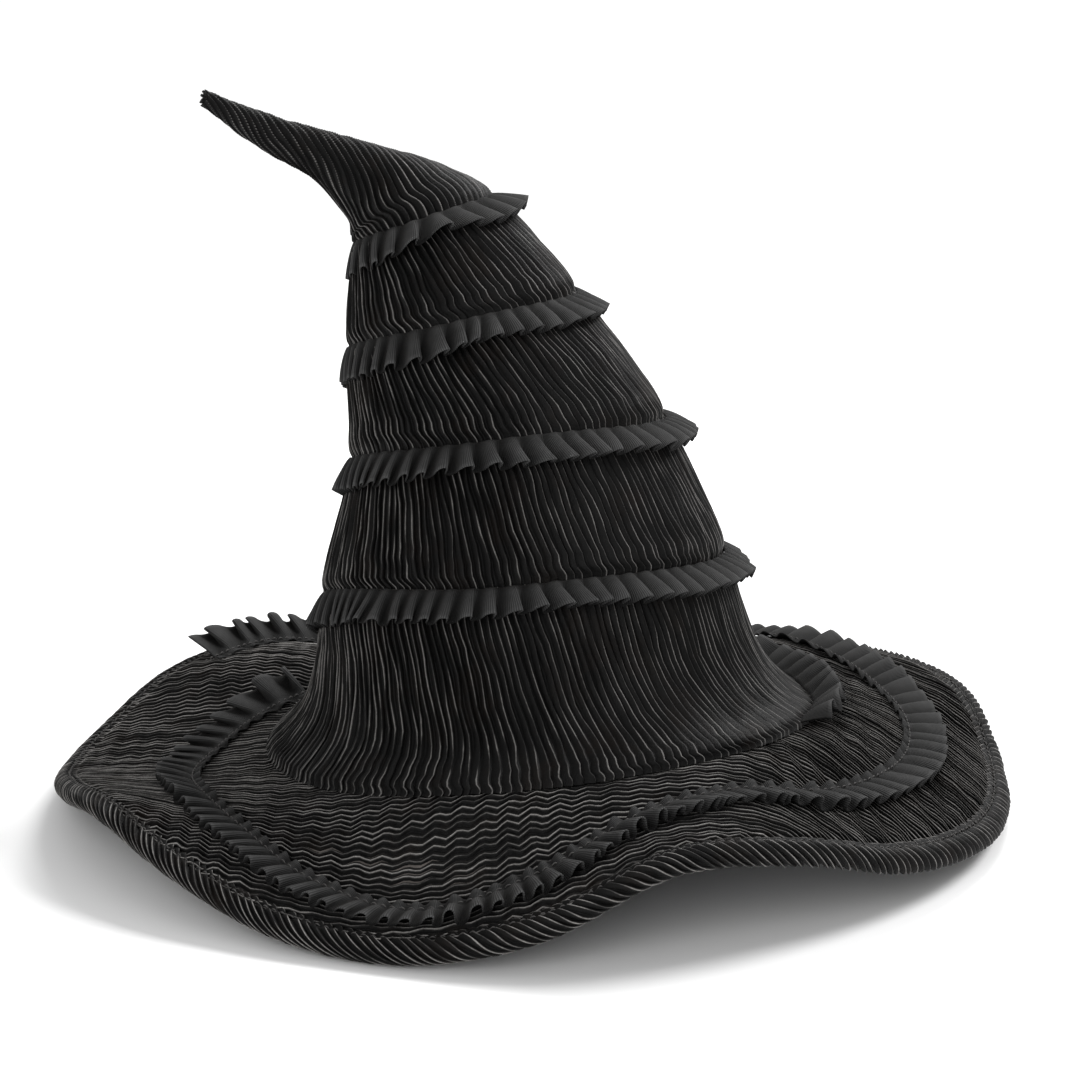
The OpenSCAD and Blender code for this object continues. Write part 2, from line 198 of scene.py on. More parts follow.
def brim_z(r, deg):
    r, deg = np.broadcast_arrays(np.asarray(r, float), np.asarray(deg, float))
    foot = round_the_hat(FOOT_RISE, deg)
    rows = [OPENING_SHARE * foot, foot, round_the_hat(MID_RISE, deg), round_the_hat(EDGE_RISE, deg)]
    rows = np.stack([2 * rows[0] - rows[1], *rows, 2 * rows[3] - rows[2]])
    s = np.where(r < FOOT_R, (r - BRIM_IN_R) / (FOOT_R - BRIM_IN_R),
                 np.where(r < MID_R, 1 + (r - FOOT_R) / (MID_R - FOOT_R),
                          2 + (r - MID_R) / (reach(deg) - MID_R)))
    i = np.clip(np.floor(s).astype(int), 0, 2)
    pick = [np.take_along_axis(rows, (i + k)[None], 0)[0] for k in range(4)]
    return BRIM_LEVEL + curve(*pick, s - i)


def on_circle(r, a, z):
    return np.stack(np.broadcast_arrays(r * np.cos(a), r * np.sin(a), z), -1)


def brim_point(r, deg, up=0.0):
    r, deg, up = np.broadcast_arrays(np.asarray(r, float), np.asarray(deg, float), np.asarray(up, float))
    return on_circle(r, np.radians(deg), brim_z(r, deg) + up)


def ring_at(s):
    """Ring number s of the crown: its centre, radius, and axes to the right, to the back and up."""
    s = np.asarray(s, float)
    p = along(SPINE, s)
    tilt, lean = np.radians(p[..., 4]), np.radians(p[..., 5])
    t = unit(np.stack([-np.sin(tilt), np.sin(lean) * np.cos(tilt), np.cos(tilt) * np.cos(lean)], -1))
    u = unit(np.cross(np.array([0.0, 1.0, 0.0]), t))
    centre = p[..., :3] + np.array([0, 0, BRIM_LEVEL])
    return centre, p[..., 3], u, np.cross(t, u), t


def crown_point(s, deg, off=0.0, up=0.0):
    """A point of the crown: ring number, angle, distance outside the ring and distance up its axis."""
    s, deg, off, up = np.broadcast_arrays(*(np.asarray(x, float) for x in (s, deg, off, up)))
    centre, radius, u, v, t = ring_at(s)
    a = np.radians(deg)[..., None]
    q = centre + (radius + off)[..., None] * (np.cos(a) * u + np.sin(a) * v) + up[..., None] * t
    foot = brim_z(FOOT_R + off, deg) - BRIM_LEVEL + FOOT_GAP
    q[..., 2] += foot * (1 - ease(s / 2))
    return q


def seam_ring(turns):
    return along(CROWN_SEAM, np.asarray(turns, float) * 4)


# --- Noise from -1 to 1, each call from a table of its own seed ---
LINE_TABLE = 2048
GRID_TABLE = 512
CROWN_SEED, HORN_SEED, BINDING_SEED = 11, 31, 141
HANG_SEED, CROWN_RUFFLE_SEED, BRIM_RUFFLE_SEED = 51, 60, 80
TOP_COVER_SEED, UNDER_COVER_SEED = 100, 120
LINING_SEED, SWEATBAND_SEED, TAPE_SEED = 151, 161, 171
CROWN_STUFFING_SEED, TIP_STUFFING_SEED = 181, 191


def noise1(x, seed):
    table = np.random.default_rng(seed).uniform(-1, 1, LINE_TABLE)
    x = np.asarray(x, float)
    i = np.floor(x).astype(int)
    return mix(table[i % LINE_TABLE], table[(i + 1) % LINE_TABLE], ease(x - i))


def noise2(x, y, seed):
    table = np.random.default_rng(seed).uniform(-1, 1, (GRID_TABLE, GRID_TABLE))
    x, y = np.broadcast_arrays(np.asarray(x, float), np.asarray(y, float))
    i, j = np.floor(x).astype(int), np.floor(y).astype(int)
    a, b = ease(x - i), ease(y - j)
    i, i2, j, j2 = i % GRID_TABLE, (i + 1) % GRID_TABLE, j % GRID_TABLE, (j + 1) % GRID_TABLE
    return mix(mix(table[i, j], table[i2, j], a), mix(table[i, j2], table[i2, j2], a), b)


# --- Mesh building ---
def quads(rows, cols, closed_rows=False, closed_cols=False):
    """The faces of a grid of points, one row after another."""
    k = np.arange(rows if closed_rows else rows - 1)
    i = np.arange(cols if closed_cols else cols - 1)
    k, i = np.meshgrid(k, i, indexing="ij")
    k2, i2 = (k + 1) % rows, (i + 1) % cols
    return np.stack([k * cols + i, k * cols + i2, k2 * cols + i2, k2 * cols + i], -1).reshape(-1, 4)


def make_piece(name, points, faces, material, attributes=None):
    """A smooth mesh from points in millimetres and faces, with named values at its points."""
    points = np.asarray(points, float).reshape(-1, 3) * MM
    mesh = bpy.data.meshes.new(name)
    mesh.vertices.add(len(points))
    mesh.vertices.foreach_set("co", points.ravel())
    mesh.loops.add(faces.size)
    mesh.loops.foreach_set("vertex_index", faces.ravel().astype(np.int32))
    mesh.polygons.add(len(faces))
    mesh.polygons.foreach_set("loop_start", np.arange(0, faces.size, faces.shape[1], dtype=np.int32))
    mesh.polygons.foreach_set("use_smooth", np.ones(len(faces), bool))
    for key, values in (attributes or {}).items():
        layer = mesh.attributes.new(key, "FLOAT", "POINT")
        layer.data.foreach_set("value", np.asarray(values, np.float32).ravel())
    mesh.update(calc_edges=True)
    mesh.validate()
    mesh.materials.append(material)
    piece = bpy.data.objects.new(name, mesh)
    bpy.context.scene.collection.objects.link(piece)
    return piece


def apply_modifier(piece, kind, **settings):
    modifier = piece.modifiers.new(kind.lower(), kind)
    for key, value in settings.items():
        setattr(modifier, key, value)
    with bpy.context.temp_override(object=piece, active_object=piece, selected_objects=[piece]):
        bpy.ops.object.modifier_apply(modifier=modifier.name)


def path_length(points):
    """The distance along a line of points, at each of them."""
    return np.concatenate([[0], np.cumsum(np.linalg.norm(np.diff(points, axis=0), axis=-1))])


def read_along(at, run, rows):
    """Rows of three values given at distances run, read at the distances at."""
    return np.stack([np.interp(at, run, rows[:, k]) for k in range(3)], -1)


def round_angles(count):
    """Evenly round the hat, in degrees."""
    return np.arange(count) * 360 / count


# --- Materials ---
SHEEN_ROUGHNESS = 0.45
SHEEN_TINT = (0.75, 0.7, 0.66, 1)
# The colour sockets of a Mix node
MIX_FACTOR, MIX_A, MIX_B, MIX_RESULT = 0, 6, 7, 2


class Look:
    """A procedural material, built node by node."""

    def __init__(self, name, rough, sheen=0.0, metallic=0.0, specular=0.5):
        self.material = bpy.data.materials.new(name)
        self.material.use_nodes = True
        self.tree = self.material.node_tree
        self.shader = self.tree.nodes["Principled BSDF"]
        self.shader.inputs["Roughness"].default_value = rough
        self.shader.inputs["Metallic"].default_value = metallic
        self.shader.inputs["Specular IOR Level"].default_value = specular
        self.shader.inputs["Sheen Weight"].default_value = sheen
        self.shader.inputs["Sheen Roughness"].default_value = SHEEN_ROUGHNESS
        self.shader.inputs["Sheen Tint"].default_value = SHEEN_TINT
        self.place = self.tree.nodes.new("ShaderNodeTexCoord").outputs["Object"]

    def put(self, socket, value):
        if isinstance(value, bpy.types.NodeSocket):
            self.tree.links.new(value, socket)
        else:
            socket.default_value = value

    def noise(self, scale, detail=3.0, roughness=0.55, stretch=None):
        node = self.tree.nodes.new("ShaderNodeTexNoise")
        place = self.place
        if stretch:
            mapping = self.tree.nodes.new("ShaderNodeMapping")
            mapping.inputs["Scale"].default_value = stretch
            self.tree.links.new(place, mapping.inputs["Vector"])
            place = mapping.outputs["Vector"]
        self.tree.links.new(place, node.inputs["Vector"])
        node.inputs["Scale"].default_value = scale
        node.inputs["Detail"].default_value = detail
        node.inputs["Roughness"].default_value = roughness
        return node.outputs["Fac"]

    def attribute(self, name):
        node = self.tree.nodes.new("ShaderNodeAttribute")
        node.attribute_name = name
        return node.outputs["Fac"]

    def ramp(self, fac, stops):
        node = self.tree.nodes.new("ShaderNodeValToRGB")
        elements = node.color_ramp.elements
        while len(elements) < len(stops):
            elements.new(0.5)
        for element, (at, color) in zip(elements, stops):
            element.position = at
            element.color = (*color, 1)
        self.tree.links.new(fac, node.inputs["Fac"])
        return node.outputs["Color"]

    def blend(self, a, b, fac, kind="MIX"):
        node = self.tree.nodes.new("ShaderNodeMix")
        node.data_type = "RGBA"
        node.blend_type = kind
        self.put(node.inputs[MIX_FACTOR], fac)
        self.put(node.inputs[MIX_A], a)
        self.put(node.inputs[MIX_B], b)
        return node.outputs[MIX_RESULT]

    def math(self, kind, a, b=0.0):
        node = self.tree.nodes.new("ShaderNodeMath")
        node.operation = kind
        self.put(node.inputs[0], a)
        self.put(node.inputs[1], b)
        return node.outputs[0]

    def scaled(self, value, by, plus):
        return self.math("ADD", self.math("MULTIPLY", value, by), plus)

    def shade(self, color, fac, stops, share=1.0):
        """The colour made darker or lighter by a ramp of greys."""
        return self.blend(color, self.ramp(fac, [(at, grey(x)) for at, x in stops]), share, "MULTIPLY")

    def bump(self, height, distance, strength=1.0, normal=None):
        node = self.tree.nodes.new("ShaderNodeBump")
        node.inputs["Strength"].default_value = strength
        node.inputs["Distance"].default_value = distance
        self.tree.links.new(height, node.inputs["Height"])
        if normal is not None:
            self.tree.links.new(normal, node.inputs["Normal"])
        return node.outputs["Normal"]

    def finish(self, color, rough=None, normal=None):
        self.tree.links.new(color, self.shader.inputs["Base Color"])
        if rough is not None:
            self.tree.links.new(rough, self.shader.inputs["Roughness"])
        if normal is not None:
            self.tree.links.new(normal, self.shader.inputs["Normal"])
        return self.material


def grey(x, warm=0.0):
    return (x * (1 + warm), x, x * (1 - warm))


def times(color, by):
    return tuple(c * by for c in color)


def pleat_look(name, low, mid, high):
    """Black plisse: painted shade in the folds, a painted highlight on the ridges, with faint brown patches
    and a fine weave.
    """
    look = Look(name, 0.55, sheen=0.012, specular=0.1)
    ridge = look.attribute("ridge")
    # Noise shifts where the painted highlight and the painted shade fall
    painted_light = look.math("MULTIPLY", look.noise(420, 4, 0.65), 0.34)
    ridge = look.math("ADD", ridge, look.math("SUBTRACT", painted_light, 0.17))
    # Painted shade in the folds, rising to a painted highlight on the crests
    color = look.ramp(ridge, [(0.0, grey(low)), (0.58, grey(mid, 0.03)), (0.78, grey(high * 0.38, 0.04)),
                              (0.98, grey(high, 0.04))])
    brown = look.ramp(look.noise(55, 4, 0.6), [(0.52, (0, 0, 0)), (0.72, (1, 1, 1))])
    brown = look.math("MULTIPLY", brown, 0.3)
    color = look.blend(color, (mid * 2.3, mid * 1.35, mid * 0.85, 1), brown)
    color = look.shade(color, look.noise(2600, 2, 0.5), [(0.3, 0.62), (0.75, 1.35)], 0.8)
    rough = look.scaled(look.noise(160, 3), 0.22, 0.42)
    normal = look.bump(look.noise(1900, 3, 0.6), 0.00035, 0.55)
    normal = look.bump(look.noise(500, 3, 0.6, (1, 1, 0.35)), 0.0006, 0.35, normal)
    return look.finish(color, rough, normal)


def rib_look(name, shade, pitch_mm, warm=0.0, depth=0.00025, folded=False):
    """Matte cloth with fine ribs across it."""
    look = Look(name, 0.85, sheen=0.025, specular=0.1)
    turn = look.math("MULTIPLY", look.attribute("rib"), 2 * math.pi / pitch_mm)
    rib = look.scaled(look.math("SINE", turn), 0.5, 0.5)
    # Each rib lighter on its top and darker in its groove, in step with its bump: painted highlight and
    # painted shade
    color = look.ramp(rib, [(0.0, grey(shade * 0.55, warm)), (1.0, grey(shade * 1.25, warm))])
    color = look.shade(color, look.noise(130, 3), [(0.3, 0.78), (0.72, 1.2)])
    color = look.shade(color, look.attribute("edge"), [(0.0, 1.0), (1.0, 1.55)])
    # Folded cloth: painted shade on folds turned in and a painted highlight on folds standing out
    if folded:
        color = look.shade(color, look.attribute("crest"), [(0.12, 0.12), (0.55, 0.8), (0.95, 1.5)])
    normal = look.bump(rib, depth, 0.8)
    normal = look.bump(look.noise(2400, 2, 0.5), 0.0002, 0.4, normal)
    rough = look.scaled(look.noise(300, 2), 0.14, 0.76)
    return look.finish(color, rough, normal)


def fibre_look(name, base, spread, scale, rough=0.9, sheen=0.2, depth=0.0004):
    """Felt, wadding, foam, tape or thread: short fibres or cells with cloudy colour."""
    look = Look(name, rough, sheen=sheen, specular=0.2)
    fibre = look.noise(scale, 6, 0.75)
    cloud = look.noise(scale / 18, 3)
    color = look.ramp(fibre, [(0.3, times(base, 1 - spread)), (0.7, times(base, 1 + spread))])
    color = look.shade(color, cloud, [(0.3, 0.8), (0.7, 1.12)])
    return look.finish(color, look.scaled(fibre, 0.1, rough - 0.08), look.bump(fibre, depth, 0.7))


def satin_look(name, base):
    look = Look(name, 0.34, sheen=0.1, specular=0.5)
    warp = look.noise(1500, 2, 0.5, (1, 1, 0.1))
    color = look.ramp(warp, [(0.3, times(base, 0.75)), (0.7, times(base, 1.3))])
    color = look.shade(color, look.noise(45, 3), [(0.3, 0.75), (0.7, 1.25)])
    return look.finish(color, look.scaled(look.noise(200, 2), 0.15, 0.28), look.bump(warp, 0.0002, 0.5))


def metal_look(name, base):
    look = Look(name, 0.32, metallic=1.0)
    drawn = look.noise(900, 3, 0.6)
    color = look.ramp(drawn, [(0.3, times(base, 0.8)), (0.7, base)])
    color = look.shade(color, look.noise(70, 4), [(0.35, 0.82), (0.65, 1.0)])
    return look.finish(color, look.scaled(drawn, 0.25, 0.2), look.bump(drawn, 0.0001, 0.4))


# Both paint shade in the folds and a highlight on the crests; the brim's copy has a brighter painted
# highlight than the crown's
PLEAT = pleat_look("black_plisse", 0.0010, 0.0045, 0.15)
PLEAT_BRIM = pleat_look("black_plisse_brim", 0.0010, 0.0050, 0.22)
RUFFLE = rib_look("ribbed_ruffle_cloth", 0.024, 0.95, folded=True)
RIBBON = rib_look("grosgrain_ribbon", 0.03, 0.9, warm=0.06, depth=0.0002)
LINING = satin_look("lining_satin", (0.024, 0.021, 0.024))
FELT = fibre_look("stiff_felt", (0.085, 0.076, 0.07), 0.3, 900)
WADDING = fibre_look("wadding", (0.72, 0.7, 0.66), 0.12, 700, depth=0.001)
FOAM = fibre_look("foam", (0.2, 0.2, 0.21), 0.35, 1500, rough=0.8, sheen=0.0, depth=0.0006)
TAPE = fibre_look("cotton_tape", (0.05, 0.05, 0.05), 0.35, 1600, rough=0.85, sheen=0.1, depth=0.0003)
THREAD = fibre_look("thread", (0.045, 0.043, 0.042), 0.4, 2500, rough=0.6, sheen=0.1, depth=0.0002)
STEEL = metal_look("drawn_wire", (0.55, 0.56, 0.57))


# --- Crown: one pleated strip wound in tiers ---
BASE_PITCH = 3.7
TIER_PITCH = 3.2
TIER_ROWS = 22
PLEAT_DEPTH = 2.1
# One laid pleat: places across it as shares of its pitch, their heights, and the painted light on each, from
# painted shade in the fold to a painted highlight on the crest
FOLD_AT = np.array([0.0, 0.16, 0.40, 0.62, 0.76, 0.85, 0.93])
FOLD_UP = np.array([0.0, 0.38, 0.68, 0.90, 1.0, 0.80, 0.32])
FOLD_PAINTED_LIGHT = np.array([0.0, 0.12, 0.26, 0.48, 1.0, 0.62, 0.08])
PER_PLEAT = len(FOLD_AT)
PLEAT_LEAN = math.tan(math.radians(10))
VALLEY = -2.0
PLEAT_FULLNESS = 1.55
# The pleats swing sideways just over a seam: how far in the base tier and above it, over what height
HOOK_BASE, HOOK_TIER = 0.75, 0.5
HOOK_LENGTH = 9.5
HOOK_HEIGHT, HOOK_SPREAD = 4, 8.5
# The cloth is pinched in at a seam and puffs out over it, less in the base tier than above it
PINCH_BASE, PINCH_TIER = 0.2, 0.4
PUFF_BASE, PUFF_TIER = 1.0, 1.5
PUFF_HEIGHT = 9
# 0 spaces the rows of a tier evenly, and 1 crowds them towards its two seams
ROW_CROWDING = 0.6
STRIP_STEPS = 5000
STRIP_START = 0.02


def strip_low(turns):
    low = np.where(turns < 0, 0.0, seam_ring(np.maximum(turns, 0)))
    return low * ease((turns + STRIP_START) / STRIP_START)


def strip_high(turns):
    return seam_ring(np.clip(turns + 1, 0, SEAM_END))


def fold_value(f, values):
    """A profile's value at the share f of a pitch."""
    return np.interp(f, np.append(FOLD_AT, 1.0), np.append(values, values[0]))


def crown_strip():
    fine = np.linspace(-1, SEAM_END - 1, STRIP_STEPS)
    middle = path_length(crown_point((strip_low(fine) + strip_high(fine)) / 2, fine * 360))
    pitch = mix(BASE_PITCH, TIER_PITCH, ease(fine + 1))
    count = np.concatenate([[0], np.cumsum(np.diff(middle) / pitch[1:])])
    column = np.arange(int(count[-1]) * PER_PLEAT + 1)
    pleat, fold = column // PER_PLEAT, column % PER_PLEAT
    turns = np.interp(pleat + FOLD_AT[fold], count, fine)[:, None]
    run = np.interp(turns, fine, middle)
    pleat = pleat[:, None]
    wave = FOLD_UP[fold][:, None]
    base = turns < 0

    low, high = strip_low(turns), strip_high(turns)
    tall = np.linalg.norm(crown_point(high, turns * 360) - crown_point(low, turns * 360), axis=-1)
    t = np.linspace(0, 1, TIER_ROWS)
    v = (t - ROW_CROWDING * np.sin(2 * np.pi * t) / (2 * np.pi))[None, :]
    y = v * tall

    depth = PLEAT_DEPTH * (1 + 0.28 * noise2(pleat * 3.71, y / 17, CROWN_SEED)
                           + 0.18 * noise2(run / 31, y / 22, CROWN_SEED + 1))
    depth = depth * (0.55 + 0.45 * ease(y / 4) * ease((tall - y) / 3))
    local_pitch = np.interp(turns, fine, pitch)
    side = -PLEAT_LEAN * y
    hook = np.where(base, HOOK_BASE, HOOK_TIER) * (1 + 0.6 * noise1(run / 40, CROWN_SEED + 2))
    side = side + hook * np.sin(2 * np.pi * y / HOOK_LENGTH + 1.2 * noise1(run / 55, CROWN_SEED + 3)) \
        * np.exp(-((y - HOOK_HEIGHT) / HOOK_SPREAD) ** 2)
    side = side + 0.7 * noise2(run / 16, y / 11, CROWN_SEED + 4)
    side = side + 0.35 * noise2(run / 6, y / 6, CROWN_SEED + 5)
    side = side + 0.2 * local_pitch * noise2(pleat * 7.31, y / 14, CROWN_SEED + 6)
    side = side + 0.16 * local_pitch * wave * (0.9 + 0.8 * noise2(pleat * 5.17, y / 25, CROWN_SEED + 7))
    puff = np.where(base, PUFF_BASE, PUFF_TIER) * ease(y / PUFF_HEIGHT) * (1 - v) ** 1.2
    off = VALLEY + depth * wave + puff + 0.35 * noise2(run / 24, y / 16, CROWN_SEED + 8)
    # The upper edge goes in under the next tier
    off = off - 1.0 * ease((v - 0.9) / 0.1) - np.where(base, PINCH_BASE, PINCH_TIER) * (1 - ease(y / 2.5))

    radius = ring_at((low + high) / 2)[1]
    around = turns + side / (2 * np.pi * np.maximum(radius, 10))
    points = crown_point(np.maximum(mix(low, high, v), 0), around * 360, off)
    # Painted highlight on each pleat's crest and painted shade in its fold, varied by noise
    painted_light = FOLD_PAINTED_LIGHT[fold][:, None] * (0.85 + 0.4 * noise2(pleat * 2.9, y / 9, CROWN_SEED + 9))
    piece = make_piece("crown_pleated_strip", points, quads(len(column), TIER_ROWS), PLEAT,
                       {"ridge": np.clip(painted_light, 0, 1)})
    return piece, float(np.mean(tall)) * MM, float(middle[-1]) * PLEAT_FULLNESS * MM


crown_strip_piece, strip_width, strip_length = crown_strip()
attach(crown_strip_piece, "crown")
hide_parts("crown_cover")


# --- Horn: a pleated sleeve that twists over the crook ---
HORN_PITCH = 3.4
HORN_COLUMNS = 640
HORN_ROWS = 140
HORN_STEPS = 400
HORN_SEAM_TURN = 0.2
HORN_DEPTH = 1.9
# Ring numbers: below all of the sleeve, and half way along the sloping seam that it starts from
HORN_BELOW = 5
SLEEVE_FROM = 5.6
# The pleats' slant in degrees, at the seam and past the crook
TWIST_LOW, TWIST_HIGH = 6, 35
# The cut end is gathered inward: rings inside its edge, as a share of it, and how far in they lie
GATHERS = ((0.72, 0.4), (0.45, 1.5), (0.2, 2.6), (0.03, 3.0))
# The flat sleeve: its girth and its fullness
SLEEVE_R = 33
SLEEVE_FULLNESS = 1.35


def horn():
    turn = (HORN_SEAM_TURN + np.linspace(0, 1, HORN_COLUMNS))[None, :]
    deg = turn * 360
    start = seam_ring(np.minimum(3 + turn, SEAM_END)) - 0.2
    w = np.linspace(0, 1, HORN_ROWS)[:, None]
    s = mix(start, HORN_END, w)
    rings = np.linspace(HORN_BELOW, HORN_END, HORN_STEPS)
    arc = path_length(ring_at(rings)[0])
    y = np.interp(s, rings, arc)
    angle = np.radians(mix(TWIST_LOW, TWIST_HIGH, ease((rings - SLEEVE_FROM) / 3.0)))
    drift = np.concatenate([[0], np.cumsum(np.diff(arc) * np.tan(angle[1:]))])
    radius = ring_at(s)[1]
    x = radius * np.radians(deg - 270)
    phase = (x - np.interp(s, rings, drift)) / HORN_PITCH
    phase = phase + 0.30 * noise2(x / 11, y / 15, HORN_SEED) + 0.12 * noise2(x / 5, y / 8, HORN_SEED + 1)
    pleat = np.floor(phase)
    f = phase - pleat
    wave = fold_value(f, FOLD_UP)

    depth = np.minimum(HORN_DEPTH, 0.05 + 0.19 * radius)
    depth = depth * (1 + 0.25 * noise2(pleat * 4.3, y / 20, HORN_SEED + 2))
    depth = depth * (0.5 + 0.5 * ease((y - np.interp(start, rings, arc) - 3) / 5))
    # The lower edge goes in under the last ruffle
    under = 1 - ease((s - start - 0.1) / 0.25)
    off = -1.5 + depth * wave - 1.4 * under + 0.3 * noise2(x / 20, y / 20, HORN_SEED + 3)
    off = np.maximum(off, -0.55 * radius)
    around = deg + np.degrees(0.14 * HORN_PITCH * wave / np.maximum(radius, 4))
    closing = ease((w - 0.985) / 0.015)
    ragged = (0.8 + 1.6 * np.cos(np.radians(deg - 60)) + 1.2 * wave) * ease((w - 0.93) / 0.07)
    points = crown_point(s, around, off * (1 - 0.3 * closing), ragged)

    centre, _, _, _, up_axis = ring_at(np.full(HORN_COLUMNS, HORN_END))
    middle, edge = centre + up_axis * 0.6, points[-1]
    gathered = [middle + (edge - middle) * share - up_axis * back for share, back in GATHERS]
    points = np.concatenate([points, np.stack(gathered)])
    # Painted highlight on the crests and painted shade in the folds; the gathered end, a hollow, gets more
    # painted shade
    ridge = np.clip(fold_value(f, FOLD_PAINTED_LIGHT) * (0.9 + 0.35 * noise2(pleat * 2.9, y / 9, HORN_SEED + 4)), 0, 1)
    ridge = np.concatenate([ridge, np.repeat(ridge[-1:], len(GATHERS), 0) * 0.4])
    piece = make_piece("horn_sleeve", points, quads(len(points), HORN_COLUMNS)[:, ::-1].copy(), PLEAT,
                       {"ridge": ridge})
    tall = float(arc[-1] - np.interp(SLEEVE_FROM, rings, arc)) * MM
    return piece, 2 * math.pi * SLEEVE_R * SLEEVE_FULLNESS * MM, tall


horn_piece, horn_wide, horn_tall = horn()
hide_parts("horn_root_cover", "tip_cover")
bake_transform(horn_piece)


# --- Ruffles: a gathered strip folded to and fro along a seam ---
FOLD_ANGLE = 1.55
FOLD_STEPS = 720
RUFFLE_FULLNESS = 1.75
PER_FOLD = 18
RUFFLE_ROWS = 9
RUFFLE_THICKNESS = 0.55
RUFFLE_LOOSE = 0.5
RUFFLE_DROOP = 1.6


def fold_shape(angle):
    """One fold, at even steps along the cloth: how far ahead of an even pace it is, and how far out."""
    f = np.linspace(0, 1, FOLD_STEPS + 1)
    theta = angle * np.cos(2 * np.pi * f)
    middle = (theta[1:] + theta[:-1]) / 2
    along_seam = np.concatenate([[0], np.cumsum(np.cos(middle))]) / FOLD_STEPS
    outward = np.concatenate([[0], np.cumsum(np.sin(middle))]) / FOLD_STEPS
    scale = 1 / along_seam[-1]
    return f, along_seam * scale - f, (outward - outward.mean()) * scale


def ruffle(name, seam, direction, width, seed, fold_length, heading=0.0, lift=0.0, deep=1.0, lying=0.85):
    """A strip that stands out along direction from seam, both given as rows of points.

    A heading is cloth on the seam's other side. deep is how far the folds stand out, lying how far they lie
    over to one side, and lift how far the strip rises off what is under it. A strip without lift droops.
    """
    run = path_length(seam)
    tangent = unit(np.gradient(seam, axis=0))
    direction = unit(direction - tangent * np.sum(tangent * direction, -1, keepdims=True))
    normal = np.cross(direction, tangent)
    fold_length = np.broadcast_to(fold_length, run.shape)
    folds_at = np.concatenate([[0], np.cumsum(np.diff(run) / fold_length[1:])])
    folds_at = folds_at + RUFFLE_LOOSE * noise1(run / 36, seed)
    folds_at = folds_at + 0.25 * RUFFLE_LOOSE * noise1(run / 14, seed + 1)
    folds_at = np.maximum.accumulate(folds_at)
    folds = int(folds_at[-1] - folds_at[0])
    f = folds_at[0] + np.arange(folds * PER_FOLD + 1) / PER_FOLD
    at = np.interp(f, folds_at, run)
    p = read_along(at, run, seam)
    e, d, n = (unit(read_along(at, run, rows)) for rows in (tangent, direction, normal))

    share, ahead, outward = fold_shape(FOLD_ANGLE)
    here = np.interp(np.mod(f, 1), share, ahead)
    out = np.interp(np.mod(f, 1), share, outward)
    length_here = np.gradient(at) * PER_FOLD
    deep, lying = (np.interp(at, run, np.broadcast_to(value, run.shape)) for value in (deep, lying))
    tall = deep * (1 + 0.42 * noise1(f * 0.9 + 7, seed + 2))
    skew = 2.4 * noise1(f * 0.37, seed + 3) + 1.5 * noise1(f * 0.9 + 3, seed + 4)
    laid = lying + 0.4 * noise1(f * 0.21, seed + 7)

    v = np.linspace(0, 1, RUFFLE_ROWS)
    if heading:
        v = np.concatenate([np.array([-heading, -heading * 0.5]) / width, v])
    v = v[None, :]
    from_seam = np.abs(v)
    grow = np.where(v < 0, 0.16 + 1.6 * from_seam, 0.16 + 0.84 * from_seam ** 0.75)
    width_here = (width * (1 + 0.05 * noise1(f * 0.8, seed + 5)))[:, None]
    sideways = (here * length_here * 1.1)[:, None] * from_seam + skew[:, None] * v * from_seam
    sideways = sideways + (laid * out * length_here)[:, None] * from_seam
    outward = (out * length_here * tall)[:, None] * grow
    droop = -RUFFLE_DROOP * from_seam ** 2 * (1 + 0.6 * noise1(f * 0.6, seed + 6))[:, None]
    outward = outward + (lift * from_seam ** 0.6 if lift else droop)
    points = p[:, None] + e[:, None] * sideways[..., None] + d[:, None] * (width_here * v)[..., None] \
        + n[:, None] * outward[..., None]

    rib = np.repeat(path_length(points[:, -1])[:, None], v.shape[1], 1)
    edge = np.repeat(ease((v - 0.93) / 0.07), len(f), 0)
    # crest: painted highlight on folds that stand out, painted shade on those that turn in
    crest = 0.5 + 0.5 * (out / np.abs(out).max())[:, None] * np.minimum(1, 0.55 + 0.45 * from_seam)
    piece = make_piece(name, points, quads(len(f), v.shape[1]), RUFFLE,
                       {"rib": rib, "edge": edge, "crest": crest})
    apply_modifier(piece, "SOLIDIFY", thickness=RUFFLE_THICKNESS * MM, offset=0.0, use_rim=True)
    return piece, (width + heading) * MM, float(run[-1]) * RUFFLE_FULLNESS * MM


# The crown's ruffle: the turns by which it passes the seam's two ends, how far in its seam lies,
# its slope in degrees at the foot and above it, how much lower it hangs on the left, and its folds' lengths
RUFFLE_BEFORE, RUFFLE_PAST = 0.065, 0.02
RUFFLE_SEAM_IN = 0.5
RUFFLE_RISE, RUFFLE_FALL, RUFFLE_FALL_LEFT = 30, -34, 24
FOOT_FOLD, TIER_FOLD = 12.5, 8.0


def crown_ruffle():
    turns = np.linspace(-RUFFLE_BEFORE, SEAM_END + RUFFLE_PAST, 3200)
    s = np.maximum(seam_ring(np.clip(turns, 0, SEAM_END)), 0.1)
    deg = turns * 360
    _, _, u, v, t = ring_at(s)
    a = np.radians(deg)[:, None]
    out = np.cos(a) * u + np.sin(a) * v
    left = np.maximum(0, -np.cos(a[:, 0]))
    fall = RUFFLE_FALL - RUFFLE_FALL_LEFT * left
    hang = mix(RUFFLE_RISE, fall, ease((s - 0.6) / 1.6)) + 9 * noise1(turns * 9, HANG_SEED)
    hang = np.radians(hang)[:, None]
    seam = crown_point(s, deg, -RUFFLE_SEAM_IN)
    direction = np.cos(hang) * out + np.sin(hang) * t
    fold_length = mix(FOOT_FOLD, TIER_FOLD, ease((s - 0.3) / 1.5))
    return ruffle("crown_ruffle_strip", seam, direction, CROWN_RUFFLE_W, CROWN_RUFFLE_SEED, fold_length,
                  deep=0.5 + 0.25 * left)


